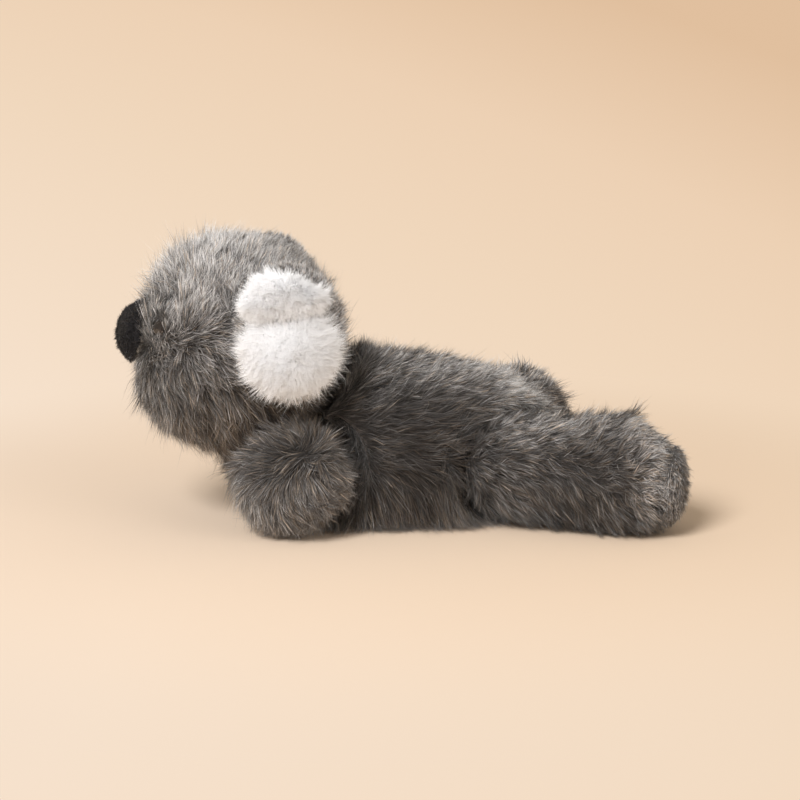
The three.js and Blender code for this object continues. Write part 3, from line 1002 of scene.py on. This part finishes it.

# %% [markdown]
# ## Shades of the coat
# The forehead and muzzle are silver and the cheeks darker, and the fur is made almost black on the
# flanks. Tan fibres are knitted in among the grey ones, most of them at the chin, chest and belly.
# A shade here is how silver, or how often tan, the fibres are near a place on the toy. Several dark
# patches are painted shade, under the ear, between the head, arms, body and thighs and where the
# head shades the arm, and fur that looks up is made more silver as painted light from above. A
# place is given as forwards, out from the middle and up, with the size of the patch and how much it
# adds, so both sides of the toy are alike. Fur that changes in length is given in the same way.

# %% Patches over the toy


def patches(base, spots):
    def shade(points):
        value = np.full(len(points), float(base))
        for x, aside, z, size, amount in spots:
            off = np.stack([
                points[:, 0] / mm - x,
                np.abs(points[:, 1] - middle_y) / mm - aside,
                points[:, 2] / mm - z,
            ])
            value += amount * np.exp(-(off ** 2).sum(axis=0) / size ** 2)
        return value

    return shade


def even(share):
    return lambda points: np.full(len(points), float(share))


def less(tone, amount):
    return lambda points: tone(points) - amount


# %% How silver and how tan each part is, and where shade is painted
head_tone_and_painted_shade = patches(0.52, [
    # painted shade under the ear
    (-70, 45, 72, 20, -0.2),  # under the ear
    (-100, 15, 142, 42, 0.36),  # forehead
    (-128, 18, 112, 26, 0.3),  # between the eyes
    (-66, 15, 146, 30, 0.25),  # crown
    (-106, 52, 78, 26, -0.16),  # cheek
    (-86, 52, 106, 14, -0.2),  # in front of the ear
    (-104, 45, 103, 15, 0.16),  # temple
    # painted shade where the jaw meets the arm
    (-76, 42, 46, 26, -0.36),  # jaw, over the arm
    (-108, 40, 54, 20, 0.1),  # chin
    (-116, 55, 96, 20, 0.14),  # below the eye
])
head_warm = patches(0.08, [
    (-105, 45, 72, 26, 0.2),
    (-100, 30, 50, 24, 0.4),
    (-72, 40, 48, 26, 0.5),
    (-70, 46, 68, 20, 0.3),
])
body_tone_and_painted_shade = patches(0.36, [
    (10, 10, 92, 34, 0.26),  # top of the back
    (4, 50, 55, 26, -0.36),  # flank
    # painted shade in the crease before the thigh
    (30, 52, 42, 20, -0.38),  # before the thigh
    # painted shade behind the arm
    (-12, 52, 33, 18, -0.2),  # behind the arm
    (66, 22, 62, 28, 0.72),  # rump
    # painted shade on the shoulder, behind the ear
    (-22, 40, 68, 18, -0.24),  # shoulder, behind the ear
])
body_warm = patches(0.14, [(20, 42, 8, 34, 0.5), (60, 42, 8, 26, 0.4), (-40, 42, 12, 30, 0.4)])
arm_tone_and_painted_shade = patches(0.47, [
    # painted shadow of the head on the top of the paw and the shoulder
    (-75, 66, 46, 16, -0.36),  # top of the paw
    (-58, 66, 56, 16, -0.26),  # top of the shoulder
    (-82, 70, 24, 16, 0.16),  # front of the paw
    (-62, 78, 20, 18, 0.08),  # outer side
])
arm_warm = patches(0.18, [(-55, 60, 54, 20, 0.35), (-50, 70, 12, 18, 0.2)])
leg_warm = patches(0.2, [(90, 60, 6, 34, 0.3)])


def leg_tone_painted_light_and_shade(side):
    hip, _, place_on = leg_line(side)

    def shade(points):
        place = place_on(points)
        high = (points[:, 2] - hip[2]) / (30 * mm)
        foot = np.exp(-((place - 0.84) / 0.09) ** 2)
        # painted shade in the crease between the foot and the thigh
        painted_crease_shade = np.exp(-((place - 0.66 + 0.1 * high) / 0.05) ** 2)
        thigh = np.exp(-((place - 0.3) / 0.22) ** 2) * (1 - smooth(high, 0.1, 0.8))
        value = 0.35 + 0.3 * foot - 0.3 * painted_crease_shade - 0.26 * thigh
        # painted light on the upper side of the leg and painted shade under it
        return value + 0.26 * smooth(high, 0.3, 1.0) - 0.1 * smooth(high, 0, -0.9)

    return shade


print("shades are set")

# %% How long the fur is


def from_eyes(points):
    eyes = [np.linalg.norm(points - middle_of("eye_" + side), axis=1) for side in sides]
    return np.min(eyes, axis=0)


def near_eyes(length):
    far = 18 * mm
    return lambda points: length(points) * (0.4 + 0.6 * smooth(from_eyes(points), 5 * mm, far))


head_share = patches(16.5, [
    (-138, 0, 96, 22, -5),  # round the nose pad
    (-52, 12, 138, 28, -6),  # back of the crown
    (-130, 15, 122, 26, 5),  # brow
    (-118, 15, 140, 20, 3),  # forehead
    (-100, 50, 50, 24, 3),  # chin
])
body_share = patches(14, [(0, 0, 92, 40, -2), (34, 47, 42, 24, 8), (-22, 44, 60, 20, 3)])
head_length = near_eyes(lambda points: head_share(points) * mm)


def body_length(points):
    return (body_share(points) + 18 * smooth(points[:, 2], 38 * mm, 14 * mm)) * mm


def leg_length(side):
    place_on = leg_line(side)[2]

    def length(points):
        place = place_on(points)
        fringe = 5 * smooth(points[:, 2], 30 * mm, 12 * mm) * smooth(place, 0.85, 0.55)
        corner = smooth(points[:, 2], 18 * mm, 5 * mm) * smooth(place, 0.75, 0.95)
        return (15 - 3.5 * smooth(place, 0.35, 0.95) + fringe - 5 * corner) * mm

    return length


def sole_length(points):
    return (6 - 4 * smooth(points[:, 2], 20 * mm, 6 * mm)) * mm


# %% Where the cloth stays bare


def bare_face(points, normals):
    return smooth(from_eyes(points), 5 * mm, 7.5 * mm)


def bare_at_hip(side):
    way = leg_line(side)[1]
    return lambda points, normals: smooth(normals @ way, -0.95, -0.75)


def lobe_rim(side):
    middle = points_of(skins["lobe_" + side].data).mean(axis=0)

    def rim(points, normals):
        return smooth(np.linalg.norm((points - middle)[:, [0, 2]], axis=1), 11 * mm, 17 * mm)

    return rim


print("lengths and bare places are set")

# %% [markdown]
# ## The coats
# Each skin gets a short, darker underfur that hides the cloth, and a longer top coat. The ears get
# fine white fur and wisps, with the fold over the lobe, and the nose a short dense velour.

# %% Grow the grey coats of head and body
grey_pile = (grey_fibre, "grey_fur")
white_pile = (white_fibre, "white_fur")
nose_pile = (black_fibre, "nose_velour")
near_head = ("body", "arm_left", "arm_right", "nose")
near_body = ("head", "arm_left", "arm_right", "leg_left", "leg_right")
grow("head_underfur", "head", "head", grey_pile, 70000, near_eyes(even(10 * mm)), head_lie,
     less(head_tone_and_painted_shade, 0.2), warm=head_warm, lift=(56, 28), neighbours=near_head, seed=11, swirls=1,
     top=0.1, steps=underfur_steps, bald=bare_face, sway=0.8, sway_size=18 * mm, reach=1.2 * mm)
grow("head_topfur", "head", "head", grey_pile, 96000, head_length, head_lie, head_tone_and_painted_shade,
     warm=head_warm, lift=(43, 7), neighbours=near_head, seed=12, swirls=1, top=0.25,
     bald=bare_face, tuft=20, gather=0.27, wander=0.2, sway=0.75, sway_size=20 * mm,
     width=0.22 * mm, clump=0.16, reach=1.2 * mm)
grow("body_underfur", "body", "torso", grey_pile, 70000, even(10 * mm), body_lie,
     less(body_tone_and_painted_shade, 0.2), warm=body_warm, lift=(56, 28), neighbours=near_body, seed=21, sway=0.7,
     swirls=2, top=0.15, steps=underfur_steps, press=10, reach=1.2 * mm)
grow("body_topfur", "body", "torso", grey_pile, 96000, body_length, body_lie, body_tone_and_painted_shade,
     warm=body_warm, lift=(40, 6), neighbours=near_body, seed=22, sway=0.8, gather=0.28, swirls=2,
     top=0.45, press=20, hang=body_hang, tuft=18, width=0.22 * mm, clump=0.16, reach=1.2 * mm)

# %% Grow the grey coats of legs, arms and ear backs
for side in sides:
    leg = "leg_" + side
    arm = "arm_" + side
    ear = "ear_" + side
    inner_end = bare_at_hip(side)
    grow("leg_underfur_" + side, leg, leg, grey_pile, 36000, even(8 * mm), leg_lie(side),
         less(leg_tone_painted_light_and_shade(side), 0.2), warm=leg_warm, lift=(50, 24),
         neighbours=("body", "sole_" + side), seed=31, swirls=3, top=0.2, steps=underfur_steps,
         bald=inner_end)
    grow("leg_topfur_" + side, leg, leg, grey_pile, 52000, leg_length(side), leg_lie(side),
         leg_tone_painted_light_and_shade(side), warm=leg_warm, lift=(35, 5), neighbours=("body", "sole_" + side),
         seed=32, gather=0.34, swirls=3, top=0.4, bald=inner_end, tuft=20, width=0.24 * mm,
         reach=1 * mm, press=12, hang=leg_hang(side), strays=0.02)
    grow("sole_fur_" + side, "sole_" + side, leg, grey_pile, 20000, sole_length, sole_lie(side),
         even(0.6), warm=even(0.25), lift=(32, 4), sway=0.3, neighbours=(leg,), seed=33)
    grow("arm_underfur_" + side, arm, arm, grey_pile, 26000, even(10 * mm), arm_lie(side),
         less(arm_tone_and_painted_shade, 0.2), warm=arm_warm, lift=(60, 34), neighbours=("body", "head"), seed=41,
         swirls=4, steps=underfur_steps)
    grow("arm_topfur_" + side, arm, arm, grey_pile, 42000, even(15.5 * mm), arm_lie(side),
         arm_tone_and_painted_shade, warm=arm_warm, fray=0.3, lift=(47, 10), neighbours=("body", "head"), seed=42,
         gather=0.34, swirls=4, sway=1.4, sway_size=13 * mm, tuft=22, width=0.24 * mm)
    grow("ear_back_fur_" + side, ear, ear, grey_pile, 26000, even(6.5 * mm), ear_lie(side),
         even(0.8), warm=even(0.1), lift=(36, 6),
         neighbours=("lobe_" + side, "fold_" + side, "head"), seed=51, gather=0.15)

# %% Grow the white ear fur and the nose velour
for side in sides:
    ear = "ear_" + side
    lobe = "lobe_" + side
    fold = "fold_" + side
    fine = {"outward": (-0.1, 1.1 * sides[side], 0.36), "soft": 1, "twist": 14}
    grow("ear_lobe_fur_" + side, lobe, ear, white_pile, 56000, even(7.5 * mm), lobe_lie(side),
         even(0.6), lift=(50, 24), neighbours=(ear,), seed=61, gather=0.2, width=0.18 * mm,
         wander=0.4, sway=0.2, curl=0.5, strays=0.12, fray=0.6, **fine)
    grow("ear_lobe_wisps_" + side, lobe, ear, white_pile, 7000, even(12 * mm), lobe_out(side),
         even(0.9), lift=(34, 16), neighbours=(ear,), seed=63, gather=0.3, width=0.2 * mm,
         wander=0.3, sway=0.4, curl=0.5, strays=0.2, fray=0.3, bald=lobe_rim(side),
         reach=1 * mm, **fine)
    grow("ear_fold_fur_" + side, fold, ear, white_pile, 34000, even(5.5 * mm), fold_lie(side),
         even(0.75), lift=(46, 18), neighbours=(ear, lobe), seed=62, gather=0.25,
         width=0.22 * mm, reach=0.5 * mm, curl=0.5, sway=0.8, sway_size=8 * mm, strays=0.12,
         fray=0.45, **fine)
    grow("ear_fold_wisps_" + side, fold, ear, white_pile, 16000, even(8 * mm), fold_lie(side),
         even(0.9), lift=(50, 32), neighbours=(ear,), seed=64, gather=0.25, width=0.18 * mm,
         wander=0.4, sway=0.8, sway_size=6 * mm, curl=0.6, strays=0.2, fray=0.4,
         reach=0.5 * mm, **fine)
grow("nose_velour_pile", "nose", "head", nose_pile, 16000, even(2.4 * mm), nose_lie, even(0.35),
     lift=(72, 44), neighbours=("head",), seed=71, gather=0.15, width=0.24 * mm, sway=0.2,
     reach=1.5 * mm)

# %% [markdown]
# ## Eyes and washers
# The bead eyes keep their solids: turned, glossy and dark brown. The nylon washers that lock them
# are inside the head, and get a plain moulded finish in case the toy is opened up.

# %% Materials of the nodes that stay


def plain_material(name, low, high, rough, scale, coat, raise_share):
    material, tree = new_material(name)
    cloud = put(tree, "ShaderNodeTexNoise", {
        "Scale": scale, "Detail": 5, "Vector": object_place(tree),
    }).outputs["Fac"]
    uneven = put(tree, "ShaderNodeMapRange", {
        "To Min": rough * 0.8, "To Max": rough * 1.2, "Value": cloud,
    })
    raised = put(tree, "ShaderNodeBump", {
        "Strength": raise_share, "Distance": 0.2 * mm, "Height": cloud,
    })
    surface(tree, {
        "Base Color": ramp(tree, cloud, [(0.3, low), (0.7, high)]),
        "Roughness": uneven.outputs["Result"], "Normal": raised.outputs[0],
        "Coat Weight": coat, "Coat Roughness": 0.05,
    })
    return material


bead = plain_material(
    "eye_bead_gloss", (0.008, 0.005, 0.004), (0.02, 0.012, 0.009),
    rough=0.12, scale=300, coat=1, raise_share=0,
)
nylon = plain_material(
    "washer_nylon_moulded", (0.6, 0.57, 0.53), (0.72, 0.69, 0.65),
    rough=0.5, scale=260, coat=0, raise_share=0.1,
)
for side in sides:
    for node, finish in (("eye_" + side, bead), ("eye_washer_" + side, nylon)):
        kept = frame["nodes"][node].data
        kept.materials.clear()
        kept.materials.append(finish)
print("kept nodes finished")
